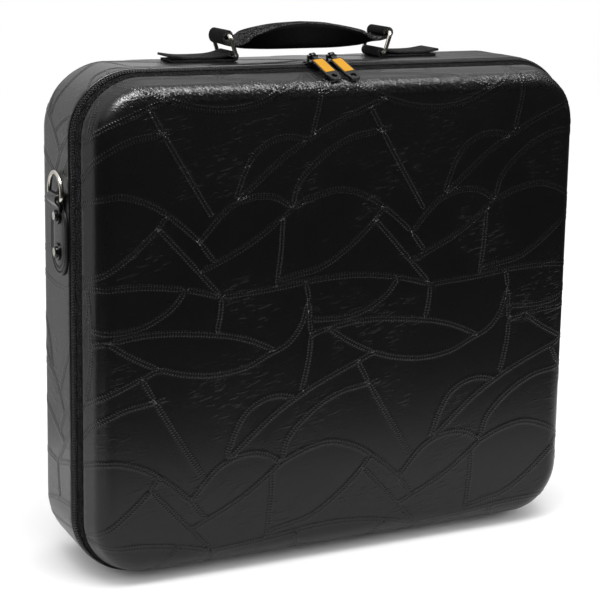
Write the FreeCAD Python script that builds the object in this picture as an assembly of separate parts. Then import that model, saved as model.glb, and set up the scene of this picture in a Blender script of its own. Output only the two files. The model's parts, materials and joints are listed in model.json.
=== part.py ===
import FreeCAD, Part
import math
import os

os.makedirs("parts", exist_ok=True)

Vector = FreeCAD.Vector

# Console carrying bag: two moulded shells joined by a hinge strip along the bottom and a zip round
# the other sides. Millimetres, +Z up, the lid faces -Y, the bag stands on Z = 0.

# The case, measured at the back half's rim, which is its widest outline
case_width = 450.0
case_height = 410.0
corner_radius = 53.0
wall = 5.0

# The two moulded halves
lid_depth = 25.0
lid_draft = 17.0
lid_edge_radius = 9.0
back_depth = 78.0
back_edge_radius = 18.0

# The zip: fabric tapes that slope in towards the lid, and a coil along each tape's edge
lid_tape_depth = 10.0
back_tape_depth = 5.0
lid_rim_inset = 5.0
tape_recess = 0.8
zip_inset = 2.0
tape_thickness = 1.6
coil_width = 2.4
coil_height = 1.4
parting_gap = 0.4
hinge_strip_thickness = 0.7

# The zip sliders, a little left of the middle, and their pulls, which lean to the right
slider_spacing = 17.0
slider_middle = -12.0
slider_length = 13.0
slider_width = 9.5
slider_plate = 1.5
slider_flange = 1.2
cage_length = 9.0
cage_post = 1.6
cage_rise = 4.4
cage_bar_radius = 1.0
pull_length = 36.0
pull_width = 12.0
pull_thickness = 2.2
pull_lean = 12.0
pull_neck = 6.0
pull_rim = 1.3
pull_taper = 8.0
tip_width = 8.0
corner_round = 1.6
eye_width = 4.0
eye_play = 0.6
eye_wall = 1.0
hole_length = 4.4
hole_width = 5.0
plate_length = 18.0
plate_width = 9.0
plate_thickness = 0.9
plate_recess = 0.6
plate_margin = 0.2

# The handle on the back half's top, set by eye a little left of the middle
handle_middle = -7.0
handle_from_rim = 43.0
anchor_spacing = 136.0
anchor_length = 54.0
webbing_width = 30.0
webbing_thickness = 4.0
ring_wire = 3.5
ring_rise = 18.0
ring_lean = 18.0
ring_bend = 4.0
ring_side_play = 0.6
loop_wall = 2.0
strap_drop = 1.0
finger_height = 7.7
grip_width = 36.0
grip_fold = 80.0
grip_fold_radius = 5.0
end_fold = 6.0
open_pivot_play = 1.2

# The carrying rings on the two side walls
patch_width = 40.0
patch_height = 58.0
patch_thickness = 2.6
patch_from_rim = 20.5
ring_height_on_wall = 308.5
side_loop_width = 22.0
side_loop_tail = 25.0
side_tail_thickness = 1.6
side_ring_width = 32.0
rivet_radius = 7.0
rivet_flange = 1.2
rivet_dome_radius = 4.6
rivet_dome_height = 2.2
rivet_spacing = 29.0
rivet_roundness = 0.8
rivet_lift = 4.5

# Running clearances: between bodies that move past each other, and in a ring's loop
running_gap = 0.3
ring_play = 0.3

# Places that follow from the sizes above
total_depth = lid_depth + lid_tape_depth + back_tape_depth + back_depth
y_front = -total_depth / 2
y_lid_rim = y_front + lid_depth
y_zip = y_lid_rim + lid_tape_depth
y_back_rim = y_zip + back_tape_depth
y_back = y_back_rim + back_depth
lid_slope = math.tan(math.radians(lid_draft))
half_width = case_width / 2
straight_half = half_width - corner_radius
ring_radius = ring_wire / 2
loop_radius = ring_radius + ring_play + loop_wall
handle_y = y_back_rim + handle_from_rim
ring_width = webbing_width + 2 * (ring_bend + ring_side_play)
touch = 0.01


def save(node, shape):
    shape.exportStep("parts/" + node + ".step")
    print(node, "solids", len(shape.Solids), "volume", round(shape.Volume), "valid", shape.isValid())


def box(x0, x1, y0, y1, z0, z1):
    return Part.makeBox(x1 - x0, y1 - y0, z1 - z0, Vector(x0, y0, z0))


def rounded_path(corners, radius):
    """Straight runs joined by arcs round a closed polygon whose corners are square."""
    edges = []
    count = len(corners)
    for i in range(count):
        corner = corners[i]
        back = (corners[i - 1] - corner).normalize()
        ahead = (corners[(i + 1) % count] - corner).normalize()
        following = corners[(i + 1) % count]
        start = corner + back * radius
        end = corner + ahead * radius
        middle = corner + (back + ahead) * radius * (1 - math.sqrt(0.5))
        edges.append(Part.Arc(start, middle, end).toShape())
        edges.append(Part.LineSegment(end, following - ahead * radius).toShape())
    return edges


def case_outline(y, inset):
    """The case's rounded rectangle at depth y, brought in evenly by inset."""
    x = half_width - inset
    low = inset
    high = case_height - inset
    corners = [Vector(-x, y, low), Vector(x, y, low), Vector(x, y, high), Vector(-x, y, high)]
    return Part.Wire(rounded_path(corners, corner_radius - inset))


def tapered_block(y0, inset0, y1, inset1):
    return Part.makeLoft([case_outline(y0, inset0), case_outline(y1, inset1)], True, True)


def tapered_ring(y0, inset0, y1, inset1, thickness):
    outer = tapered_block(y0, inset0, y1, inset1)
    return outer.cut(tapered_block(y0, inset0 + thickness, y1, inset1 + thickness))


def round_end(block, y_end, radius):
    edges = []
    for edge in block.Edges:
        bounds = edge.BoundBox
        if abs(bounds.YMin - y_end) < touch and abs(bounds.YMax - y_end) < touch:
            edges.append(edge)
    return block.makeFillet(radius, edges)


def moulded_shell(y_rim, rim_inset, y_end, slope, edge_radius):
    """An open tray: drafted walls, one rounded edge round its closed end, even thickness."""
    towards_rim = math.copysign(wall, y_rim - y_end)
    depth = abs(y_end - y_rim)
    side_wall = wall * math.sqrt(1 + slope * slope)
    outer = tapered_block(y_rim, rim_inset, y_end, rim_inset + depth * slope)
    inner_inset = rim_inset + side_wall
    inner = tapered_block(y_rim, inner_inset, y_end + towards_rim, inner_inset + (depth - wall) * slope)
    outer = round_end(outer, y_end, edge_radius)
    inner = round_end(inner, y_end + towards_rim, edge_radius - wall)
    return outer.cut(inner)


# The two moulded halves
save("lid_shell", moulded_shell(y_lid_rim, lid_rim_inset, y_front, lid_slope, lid_edge_radius))
save("back_shell", moulded_shell(y_back_rim, 0.0, y_back, 0.0, back_edge_radius))

# The zip tapes: each runs from a shell's rim to the parting line, a little recessed at the rim
lid_edge_y = y_zip - parting_gap / 2
back_edge_y = y_zip + parting_gap / 2
lid_tape_start = lid_rim_inset + tape_recess


def lid_tape_inset(y):
    share = (y - y_lid_rim) / (lid_edge_y - y_lid_rim)
    return lid_tape_start + share * (zip_inset - lid_tape_start)


def back_tape_inset(y):
    share = (y - back_edge_y) / (y_back_rim - back_edge_y)
    return zip_inset + share * (tape_recess - zip_inset)


save("lid_zip_tape", tapered_ring(y_lid_rim, lid_tape_start, lid_edge_y, zip_inset, tape_thickness))
save("back_zip_tape", tapered_ring(back_edge_y, zip_inset, y_back_rim, tape_recess, tape_thickness))


def zip_coil(y0, y1, tape_inset):
    """A bead on the outside of a tape's edge, up both sides and over the top."""
    inset0 = tape_inset(y0)
    inset1 = tape_inset(y1)
    bead = tapered_ring(y0, inset0 - coil_height, y1, inset1 - coil_height, coil_height)
    bottom_run = box(-straight_half, straight_half, y0 - 1, y1 + 1, -coil_height, corner_radius / 2)
    return bead.cut(bottom_run)


save("lid_zip_coil", zip_coil(lid_edge_y - coil_width, lid_edge_y, lid_tape_inset))
save("back_zip_coil", zip_coil(back_edge_y, back_edge_y + coil_width, back_tape_inset))

# The hinge strip: sewn under the back tape's bottom run, up to the line where the lid folds
strip_section = Part.makePolygon([
    Vector(-straight_half, back_edge_y, zip_inset - hinge_strip_thickness),
    Vector(-straight_half, y_back_rim, tape_recess - hinge_strip_thickness),
    Vector(-straight_half, y_back_rim, tape_recess),
    Vector(-straight_half, back_edge_y, zip_inset),
    Vector(-straight_half, back_edge_y, zip_inset - hinge_strip_thickness),
])
save("hinge_strip", Part.Face(strip_section).extrude(Vector(2 * straight_half, 0, 0)))

# The zip sliders on the top run: a plate over both coils, a flange on the lid's side, a cage on top
coil_top = case_height - back_tape_inset(back_edge_y + coil_width) + coil_height
plate_bottom = coil_top + running_gap
plate_top = plate_bottom + slider_plate
bar_z = plate_top + cage_rise
slider_front = y_zip - slider_width / 2
flange_back = slider_front + slider_flange
flange_bottom = case_height - lid_tape_inset(flange_back) + running_gap


def upright_edges(shape):
    edges = []
    for edge in shape.Edges:
        bounds = edge.BoundBox
        if bounds.XLength < touch and bounds.YLength < touch:
            edges.append(edge)
    return edges


def zip_slider(x):
    left = x - slider_length / 2
    right = x + slider_length / 2
    plate = box(left, right, slider_front, slider_front + slider_width, plate_bottom, plate_top)
    plate = plate.makeFillet(slider_flange, upright_edges(plate))
    flange_left = left + slider_flange
    flange_right = right - slider_flange
    flange = box(flange_left, flange_right, slider_front, flange_back, flange_bottom, plate_bottom)
    bar_start = Vector(x - cage_length / 2, y_zip, bar_z)
    bar = Part.makeCylinder(cage_bar_radius, cage_length, bar_start, Vector(1, 0, 0))
    pieces = [flange, bar]
    for post_x in (x - cage_length / 2, x + cage_length / 2 - cage_post):
        post_end = post_x + cage_post
        near = y_zip - cage_bar_radius
        far = y_zip + cage_bar_radius
        pieces.append(box(post_x, post_end, near, far, plate_top, bar_z))
    return plate.multiFuse(pieces).removeSplitter()


# The pulls lie forward from the sliders with their tips on the lid's sloping top wall
bore_radius = cage_bar_radius + eye_play
eye_radius = bore_radius + eye_wall
wall_distance = (bar_z - (case_height - lid_rim_inset)) * math.cos(math.radians(lid_draft))
wall_distance = wall_distance - lid_tape_depth * math.sin(math.radians(lid_draft))
lean_angle = math.radians(pull_lean)
forward_reach = pull_length * math.cos(lean_angle) + tip_width / 2 * math.sin(lean_angle)
tip_reach = math.hypot(forward_reach, pull_thickness / 2)
tip_angle = math.asin((wall_distance - running_gap) / tip_reach)
tip_angle = tip_angle - math.atan2(pull_thickness / 2, forward_reach)
pull_tilt = lid_draft + math.degrees(tip_angle)
plate_start = -pull_neck - pull_rim


def laid_on_lid(shape, x):
    shape.rotate(Vector(0, 0, 0), Vector(0, 0, 1), pull_lean)
    shape.rotate(Vector(0, 0, 0), Vector(1, 0, 0), pull_tilt)
    shape.translate(Vector(x, y_zip, bar_z))
    return shape


def pull_outline():
    """A plate with straight sides that narrow towards the tip."""
    side = pull_width / 2
    tip = tip_width / 2
    far = -pull_length
    taper_start = far + pull_taper
    half = [(side, -pull_neck), (side, taper_start), (tip, far)]
    corners = half + [(-x, y) for x, y in reversed(half)]
    corners.append(corners[0])
    return Part.makePolygon([Vector(x, y, -pull_thickness / 2) for x, y in corners])


def zip_pull(x):
    half = pull_thickness / 2
    body = Part.Face(pull_outline()).extrude(Vector(0, 0, pull_thickness))
    body = body.makeFillet(corner_round, upright_edges(body))
    neck = box(-eye_width / 2, eye_width / 2, -pull_neck, 0, -half, half)
    eye = Part.makeCylinder(eye_radius, eye_width, Vector(-eye_width / 2, 0, 0), Vector(1, 0, 0))
    pull = body.multiFuse([neck, eye]).removeSplitter()
    bore = Part.makeCylinder(bore_radius, eye_width, Vector(-eye_width / 2, 0, 0), Vector(1, 0, 0))
    hole_end = -pull_length + 2 * pull_rim
    hole = box(-hole_width / 2, hole_width / 2, hole_end, hole_end + hole_length, -half, half)
    hole = hole.makeFillet(hole_length / 3, upright_edges(hole))
    seat_half = plate_width / 2 + plate_margin
    seat_near = plate_start + plate_margin
    seat_far = plate_start - plate_length - plate_margin
    seat = box(-seat_half, seat_half, seat_far, seat_near, half - plate_recess, half)
    return laid_on_lid(pull.cut(bore).cut(hole).cut(seat), x)


def pull_plate(x):
    low = pull_thickness / 2 - plate_recess
    y0 = plate_start - plate_length
    plate = box(-plate_width / 2, plate_width / 2, y0, plate_start, low, low + plate_thickness)
    return laid_on_lid(plate, x)


for side, sign in (("left", -1), ("right", 1)):
    slider_x = slider_middle + sign * slider_spacing / 2
    save("zip_slider_" + side, zip_slider(slider_x))
    save("zip_pull_" + side, zip_pull(slider_x))
    save("pull_plate_" + side, pull_plate(slider_x))


def round_bar(edges, radius):
    """Round wire along straight runs and arcs."""
    runs = []
    for edge in edges:
        first = edge.FirstParameter
        tangent = edge.tangentAt(first)
        disc = Part.Face(Part.Wire(Part.makeCircle(radius, edge.valueAt(first), tangent)))
        if isinstance(edge.Curve, Part.Circle):
            turn = math.degrees(edge.LastParameter - first)
            runs.append(disc.revolve(edge.Curve.Center, edge.Curve.Axis, turn))
        else:
            runs.append(disc.extrude(tangent * edge.Length))
    return runs[0].multiFuse(runs[1:]).removeSplitter()


# The handle: an anchor tab folded round the lower bar of each wire ring
anchor_x = anchor_spacing / 2
anchor_bar_z = case_height + loop_radius
lean = math.radians(ring_lean)
top_bar_x = anchor_x + ring_rise * math.sin(lean)
top_bar_z = anchor_bar_z + ring_rise * math.cos(lean)
near_edge = handle_y - webbing_width / 2
far_edge = handle_y + webbing_width / 2


def bar_along_y(x, z, radius, width, y_middle):
    return Part.makeCylinder(radius, width, Vector(x, y_middle - width / 2, z), Vector(0, 1, 0))


def handle_anchor(sign):
    inner = handle_middle + sign * anchor_x
    outer = inner + sign * anchor_length
    low = case_height
    tail = box(min(inner, outer), max(inner, outer), near_edge, far_edge, low, low + webbing_thickness)
    loop = bar_along_y(inner, anchor_bar_z, loop_radius, webbing_width, handle_y)
    hole = bar_along_y(inner, anchor_bar_z, ring_radius + ring_play, webbing_width, handle_y)
    return tail.fuse(loop).removeSplitter().cut(hole)


def handle_ring(sign):
    foot = Vector(handle_middle + sign * anchor_x, handle_y, anchor_bar_z)
    up = Vector(sign * math.sin(lean), 0, math.cos(lean)) * ring_rise
    side = Vector(0, ring_width / 2, 0)
    corners = [foot - side, foot + side, foot + side + up, foot - side + up]
    return round_bar(rounded_path(corners, ring_bend), ring_radius)


def strap_section(x, width, fold_degrees, low):
    """The strap's cross-section, bent up on both sides of its middle by the fold angle."""
    fold = math.radians(fold_degrees)
    outer = grip_fold_radius
    inner = grip_fold_radius - webbing_thickness
    flank = width / 2 - fold * (outer + inner) / 2
    centre = Vector(x, handle_y, low + outer)

    def on_arc(radius, sign):
        return centre + Vector(0, sign * radius * math.sin(fold), -radius * math.cos(fold))

    def at_edge(radius, sign):
        return on_arc(radius, sign) + Vector(0, sign * flank * math.cos(fold), flank * math.sin(fold))

    down = Vector(0, 0, -1)
    edges = [
        Part.Arc(on_arc(outer, -1), centre + down * outer, on_arc(outer, 1)).toShape(),
        Part.LineSegment(on_arc(outer, 1), at_edge(outer, 1)).toShape(),
        Part.LineSegment(at_edge(outer, 1), at_edge(inner, 1)).toShape(),
        Part.LineSegment(at_edge(inner, 1), on_arc(inner, 1)).toShape(),
        Part.Arc(on_arc(inner, 1), centre + down * inner, on_arc(inner, -1)).toShape(),
        Part.LineSegment(on_arc(inner, -1), at_edge(inner, -1)).toShape(),
        Part.LineSegment(at_edge(inner, -1), at_edge(outer, -1)).toShape(),
        Part.LineSegment(at_edge(outer, -1), on_arc(outer, -1)).toShape(),
    ]
    return Part.Wire(edges)


def handle_grip():
    end_low = top_bar_z - loop_radius - strap_drop
    grip_low = case_height + finger_height
    # Share of the half length from the middle, share of the fold, share of the way down to the grip
    stations = ((1.0, 0.0, 0.0), (0.93, 0.0, 0.31), (0.86, 0.03, 0.57), (0.78, 0.15, 0.81),
                (0.62, 0.37, 0.96), (0.45, 0.58, 1.0), (0.22, 0.85, 1.0))
    left_half = [(-share, fold, down) for share, fold, down in stations]
    along = left_half + [(0.0, 1.0, 1.0)] + list(reversed(stations))
    sections = []
    for share, fold_share, down in along:
        fold = end_fold + fold_share * (grip_fold - end_fold)
        width = webbing_width + fold_share * (grip_width - webbing_width)
        low = end_low + down * (grip_low - end_low)
        sections.append(strap_section(handle_middle + share * top_bar_x, width, fold, low))
    strap = Part.makeLoft(sections, True, False)
    loops = []
    for sign in (-1, 1):
        bar_x = handle_middle + sign * top_bar_x
        loops.append(bar_along_y(bar_x, top_bar_z, loop_radius, webbing_width, handle_y))
    grip = strap.multiFuse(loops).removeSplitter()
    for sign, play in ((-1, ring_play), (1, open_pivot_play)):
        bar_x = handle_middle + sign * top_bar_x
        grip = grip.cut(bar_along_y(bar_x, top_bar_z, ring_radius + play, ring_width, handle_y))
    return grip


for side, sign in (("left", -1), ("right", 1)):
    save("handle_anchor_" + side, handle_anchor(sign))
    save("handle_ring_" + side, handle_ring(sign))
save("handle_grip", handle_grip())

# The carrying rings: a stadium patch on each side wall holds the tail of the loop round the ring
patch_y = y_back_rim + patch_from_rim
patch_top = ring_height_on_wall - loop_radius - ring_play
rivet_middle = patch_top - patch_height / 2 + rivet_lift
loop_x = half_width + loop_radius


def loop_tail(sign):
    inner = sign * half_width
    outer = sign * (half_width + side_tail_thickness)
    low = ring_height_on_wall - side_loop_tail
    near = patch_y - side_loop_width / 2
    return box(min(inner, outer), max(inner, outer), near, near + side_loop_width, low, ring_height_on_wall)


def side_patch(sign):
    radius = patch_width / 2
    x = sign * half_width
    near = patch_y - radius
    far = patch_y + radius
    high = patch_top - radius
    low = patch_top - patch_height + radius
    edges = [
        Part.LineSegment(Vector(x, near, low), Vector(x, near, high)).toShape(),
        Part.Arc(Vector(x, near, high), Vector(x, patch_y, patch_top), Vector(x, far, high)).toShape(),
        Part.LineSegment(Vector(x, far, high), Vector(x, far, low)).toShape(),
        Part.Arc(Vector(x, far, low), Vector(x, patch_y, low - radius), Vector(x, near, low)).toShape(),
    ]
    stadium = Part.Face(Part.Wire(edges)).extrude(Vector(sign * patch_thickness, 0, 0))
    return stadium.cut(loop_tail(sign))


def side_loop(sign):
    x = sign * loop_x
    loop = bar_along_y(x, ring_height_on_wall, loop_radius, side_loop_width, patch_y)
    hole = bar_along_y(x, ring_height_on_wall, ring_radius + ring_play, side_loop_width, patch_y)
    return loop.fuse(loop_tail(sign)).removeSplitter().cut(hole)


def side_ring(sign):
    """A straight bar in the loop, two small bends and a half-round arch over them."""
    half = side_ring_width / 2
    slack = ring_bend * (1 - math.sqrt(0.5))

    def point(across, up):
        return Vector(sign * loop_x, patch_y + across, ring_height_on_wall + up)

    bar_end = half - ring_bend
    edges = [
        Part.LineSegment(point(-bar_end, 0), point(bar_end, 0)).toShape(),
        Part.Arc(point(bar_end, 0), point(half - slack, slack), point(half, ring_bend)).toShape(),
        Part.Arc(point(half, ring_bend), point(0, ring_bend + half), point(-half, ring_bend)).toShape(),
        Part.Arc(point(-half, ring_bend), point(slack - half, slack), point(-bar_end, 0)).toShape(),
    ]
    return round_bar(edges, ring_radius)


def patch_rivets(sign):
    heads = []
    out = Vector(sign, 0, 0)
    for offset in (-rivet_spacing / 2, rivet_spacing / 2):
        seat = Vector(sign * (half_width + patch_thickness), patch_y, rivet_middle + offset)
        flange = Part.makeCylinder(rivet_radius, rivet_flange, seat, out)
        dome = Part.makeCylinder(rivet_dome_radius, rivet_flange + rivet_dome_height, seat, out)
        rim = [edge for edge in dome.Edges if abs(edge.BoundBox.Center.x - seat.x) > rivet_flange
               and edge.BoundBox.XLength < touch]
        dome = dome.makeFillet(rivet_dome_height * rivet_roundness, rim)
        heads.append(flange.fuse(dome).removeSplitter())
    return Part.makeCompound(heads)


for side, sign in (("left", -1), ("right", 1)):
    save("side_patch_" + side, side_patch(sign))
    save("d_ring_loop_" + side, side_loop(sign))
    save("d_ring_" + side, side_ring(sign))
    save("patch_rivets_" + side, patch_rivets(sign))

print("depth", total_depth, "zip plane", y_zip, "handle", handle_y, "pull tilt", round(pull_tilt, 2))
print("pull pivot", round(y_zip, 3), round(bar_z, 3), "anchor bar", round(anchor_bar_z, 3))
print("top bar", round(top_bar_x, 3), round(top_bar_z, 3), "side ring", round(loop_x, 3), patch_y)
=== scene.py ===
# %% [markdown]
# # A zipped carrying case
# This lesson dresses a hard carrying case: two moulded halves in black pressed leather cloth, a zip that
# runs up both sides and over the top, a folded webbing handle and a carrying ring on each side wall.
# The solid parts come from a fixed frame, in metres. Everything added here is placed from that frame, so
# it sits where the real piece would, and rides on the part that carries it.

# %% Load the frame
import json
import math

import bmesh
import bpy
import numpy as np
from mathutils import Matrix, Vector, geometry, kdtree


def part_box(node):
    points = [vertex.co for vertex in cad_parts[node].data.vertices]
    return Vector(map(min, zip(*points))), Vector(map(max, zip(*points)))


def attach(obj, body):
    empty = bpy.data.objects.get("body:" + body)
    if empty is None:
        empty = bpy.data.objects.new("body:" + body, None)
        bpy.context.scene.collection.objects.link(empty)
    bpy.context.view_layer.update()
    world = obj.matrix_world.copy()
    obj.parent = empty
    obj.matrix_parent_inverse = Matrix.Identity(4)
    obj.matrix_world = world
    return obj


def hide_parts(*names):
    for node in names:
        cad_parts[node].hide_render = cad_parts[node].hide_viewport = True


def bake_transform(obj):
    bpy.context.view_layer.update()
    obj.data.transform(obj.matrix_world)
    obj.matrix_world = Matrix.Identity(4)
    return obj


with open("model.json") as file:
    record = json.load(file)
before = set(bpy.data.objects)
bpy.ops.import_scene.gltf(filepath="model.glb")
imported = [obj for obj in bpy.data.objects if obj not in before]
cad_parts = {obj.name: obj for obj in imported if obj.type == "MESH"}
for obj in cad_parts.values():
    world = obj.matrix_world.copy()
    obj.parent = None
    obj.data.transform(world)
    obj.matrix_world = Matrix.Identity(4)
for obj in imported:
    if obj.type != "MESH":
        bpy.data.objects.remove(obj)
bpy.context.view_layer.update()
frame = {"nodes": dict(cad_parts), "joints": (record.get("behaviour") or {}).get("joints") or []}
MM = 0.001

# %% [markdown]
# The case is designed in millimetres, so the lesson thinks in millimetres too and turns them to metres
# only when a mesh is made. The main sizes are read from the frame's own boxes, and the joints give the
# places where rings and pulls turn.

# %% Sizes read from the frame
lid_low, lid_high = (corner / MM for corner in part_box("lid_shell"))
back_low, back_high = (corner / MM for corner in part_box("back_shell"))
case_half = back_high.x
case_height = back_high.z
case_middle = case_height / 2
lid_rim_inset = case_half - lid_high.x
pivot = {joint["name"]: Vector(joint["pos_m"]) / MM for joint in frame["joints"] if "pos_m" in joint}
corner_radius = 53.0
wall = 5.0

# %% [markdown]
# The camera comes first, because every later choice is compared with the photograph through it. It stands
# to the left of the case and a little above it, with a long lens. The lens axis points above the middle of
# the frame, and the shift gives that back, so upright edges stay nearly upright.

# %% Camera
camera_place = Vector((-619.4, -1252.2, 546.4))
camera_yaw = math.radians(25.67)
camera_pitch = math.radians(10.86)
camera_roll = math.radians(1.0)
camera_lens = 101.4
camera_shift = -0.14

camera = bpy.data.objects.new("camera", bpy.data.cameras.new("camera"))
bpy.context.scene.collection.objects.link(camera)
bpy.context.scene.camera = camera
camera.data.lens = camera_lens
camera.data.shift_y = camera_shift
turn = Matrix.Rotation(-camera_yaw, 4, "Z") @ Matrix.Rotation(math.pi / 2 - camera_pitch, 4, "X")
turn = turn @ Matrix.Rotation(camera_roll, 4, "Z")
camera.matrix_world = Matrix.Translation(camera_place * MM) @ turn
print("camera", [round(v, 3) for v in camera.location], "lens", camera_lens)

# %% [markdown]
# A material is a small graph of nodes. Two helpers keep every recipe short: one turns the hex colour that
# a painter would write into the linear values that a renderer needs, and one adds a node with its settings
# and its links. A third starts a material and gives its surface places in millimetres, and a fourth joins
# the finished colour, bump and roughness to the shader.

# %% Colour and node helpers
def colour(hex_code):
    """An sRGB hex colour as linear RGBA."""
    linear = []
    for start in (1, 3, 5):
        value = int(hex_code[start:start + 2], 16) / 255
        linear.append(value / 12.92 if value <= 0.04045 else ((value + 0.055) / 1.055) ** 2.4)
    return (*linear, 1.0)


def add_node(tree, kind, settings=None, inputs=None):
    """One node with its settings; an input is a value, a socket, or a node that gives its first output."""
    node = tree.nodes.new("ShaderNode" + kind)
    for name, value in (settings or {}).items():
        setattr(node, name, value)
    for name, value in (inputs or {}).items():
        source = value.outputs[0] if isinstance(value, bpy.types.Node) else value
        if isinstance(source, bpy.types.NodeSocket):
            tree.links.new(source, node.inputs[name])
        else:
            node.inputs[name].default_value = source
    return node


def start_material(name, constants):
    """A material with its fixed shader values set; returns it, its tree, its shader and places in mm."""
    material = bpy.data.materials.new(name)
    material.use_nodes = True
    tree = material.node_tree
    shader = tree.nodes["Principled BSDF"]
    for socket, value in constants.items():
        shader.inputs[socket].default_value = value
    spot = add_node(tree, "TexCoord").outputs["Object"]
    place = add_node(tree, "VectorMath", {"operation": "SCALE"}, {0: spot, "Scale": 1 / MM})
    return material, tree, shader, place


def feed_shader(tree, shader, shade, height, roughness=None, strength=1.0):
    """Gives the shader its colour, its bump from a height in mm and, where it varies, its roughness."""
    bump = add_node(tree, "Bump", None, {"Height": height, "Distance": MM, "Strength": strength})
    tree.links.new(shade.outputs[2], shader.inputs["Base Color"])
    tree.links.new(bump.outputs["Normal"], shader.inputs["Normal"])
    if roughness is not None:
        tree.links.new(roughness.outputs[0], shader.inputs["Roughness"])


print("middle grey in linear values:", round(colour("#808080")[0], 3))

# %% [markdown]
# The halves are covered with polyurethane leather cloth, hot-pressed over foam. The press leaves a fine
# pebble grain, a satin gloss and short creases where the sheet was drawn. The stitched patchwork is
# embossed, so its ridges are in the mesh, and only the small rungs between them are bump. The grain of the
# real sheet is finer than a pixel, so it is drawn about twice as coarse to show at all.

# %% Pressed leather
grain_width = 1.3
pebble_height = 0.07
crease_length = 12.0
crease_spacing = 2.2
crease_lean = math.radians(12)
crease_height = 0.2
crease_patch = 60.0
leather_bump = 0.8
drawn_gloss = -0.12


def pressed_leather(name, embossed):
    material, tree, shader, place = start_material(name, {"Specular IOR Level": 0.32})
    grain = add_node(tree, "TexVoronoi", {"feature": "SMOOTH_F1"},
                     {"Vector": place, "Scale": 1 / grain_width})
    pebble = add_node(tree, "Math", {"operation": "MULTIPLY"}, {0: grain, 1: pebble_height})
    leaning = add_node(tree, "VectorRotate", {"rotation_type": "Y_AXIS"},
                       {"Vector": place, "Angle": crease_lean})
    stretch = (1 / crease_length, 1 / crease_length, 1 / crease_spacing)
    drawn = add_node(tree, "VectorMath", {"operation": "MULTIPLY"}, {0: leaning, 1: stretch})
    crease = add_node(tree, "TexNoise", None, {"Vector": drawn, "Scale": 1.0, "Detail": 3.0})
    fold = add_node(tree, "MapRange", {"interpolation_type": "SMOOTHSTEP"},
                    {"Value": crease, "From Min": 0.54, "From Max": 0.7})
    cloud = add_node(tree, "TexNoise", None, {"Vector": place, "Scale": 1 / crease_patch, "Detail": 2.0})
    where = add_node(tree, "MapRange", None, {"Value": cloud, "From Min": 0.46, "From Max": 0.6})
    creases = add_node(tree, "Math", {"operation": "MULTIPLY"}, {0: fold, 1: where})
    height = add_node(tree, "Math", {"operation": "MULTIPLY_ADD"}, {0: creases, 1: crease_height, 2: pebble})
    edge_fold = add_node(tree, "Attribute", {"attribute_name": "edge_fold"}).outputs["Fac"]
    if embossed:
        height = stitch_rungs(tree, height)
        height = edge_wrinkles(tree, place, edge_fold, height)
    shade = add_node(tree, "Mix", {"data_type": "RGBA"},
                     {0: cloud, 6: colour("#050505"), 7: colour("#0a0a0b")})
    satin = add_node(tree, "MapRange", None, {"Value": grain, "To Min": 0.26, "To Max": 0.38})
    gloss = add_node(tree, "Math", {"operation": "MULTIPLY_ADD"}, {0: edge_fold, 1: drawn_gloss, 2: satin})
    feed_shader(tree, shader, shade, height, gloss, leather_bump)
    return material


print("grain", grain_width, "mm wide, creases about", crease_length, "mm long")

# %% [markdown]
# Two finer marks belong to the embossed halves alone. Rungs like stitches cross the seams' ridges: the mesh
# tells each point how far along and beside a seam it lies, so a sine along the run draws them. Wrinkles
# gather where the sheet is drawn round the top edge, and the mesh says how strongly.

# %% Rungs and wrinkles
stitch_pitch = 2.4
stitch_place = 1.5
rung_reach = 1.2
rung_core = 0.2
rung_height = 0.23
wrinkle_length = 5.0
wrinkle_spacing = 1.6
wrinkle_lean = math.radians(35)
wrinkle_height = 1.6


def stitch_rungs(tree, height):
    """Adds the rungs across each seam's two ridges to a height."""
    run = add_node(tree, "Attribute", {"attribute_name": "seam_run"}).outputs["Fac"]
    off = add_node(tree, "Attribute", {"attribute_name": "seam_off"}).outputs["Fac"]
    phase = add_node(tree, "Math", {"operation": "MULTIPLY"}, {0: run, 1: 2 * math.pi / stitch_pitch})
    rung = add_node(tree, "Math", {"operation": "SINE"}, {0: phase})
    beside = add_node(tree, "Math", {"operation": "SUBTRACT"}, {0: off, 1: stitch_place})
    aside = add_node(tree, "Math", {"operation": "ABSOLUTE"}, {0: beside})
    band = add_node(tree, "MapRange", {"interpolation_type": "SMOOTHSTEP"},
                    {"Value": aside, "From Min": rung_reach, "From Max": rung_core, "To Max": rung_height})
    return add_node(tree, "Math", {"operation": "MULTIPLY_ADD"}, {0: rung, 1: band, 2: height})


def edge_wrinkles(tree, place, edge_fold, height):
    """Adds the wrinkles of the drawn top edge to a height."""
    leaning = add_node(tree, "VectorRotate", {"rotation_type": "Y_AXIS"},
                       {"Vector": place, "Angle": wrinkle_lean})
    squeeze = (1 / wrinkle_spacing, 1 / wrinkle_length, 1 / wrinkle_length)
    squeezed = add_node(tree, "VectorMath", {"operation": "MULTIPLY"}, {0: leaning, 1: squeeze})
    wrinkle = add_node(tree, "TexNoise", None,
                       {"Vector": squeezed, "Scale": 1.0, "Detail": 2.0, "Distortion": 0.7})
    depth = add_node(tree, "Math", {"operation": "MULTIPLY"}, {0: edge_fold, 1: wrinkle_height})
    return add_node(tree, "Math", {"operation": "MULTIPLY_ADD"}, {0: wrinkle, 1: depth, 2: height})


leather = pressed_leather("pressed_pu_leather", True)
tab_leather = pressed_leather("plain_pu_leather", False)
print("leather:", leather.name, "and", tab_leather.name)

# %% [markdown]
# Woven goods share one idea: threads that cross. The zip tapes and the handle carry their own run and
# width in a UV map, in millimetres, so the threads follow the cloth round every bend. The tape is a twill
# with fine ribs along it. The handle's webbing has dark and light yarns, which give its speckle. The case
# is lined with brushed knit, which has a soft sheen and no thread that shows.

# %% Woven materials
tape_threads = (1.0, 1.6)
webbing_threads = (1.0, 1.0)


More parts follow.
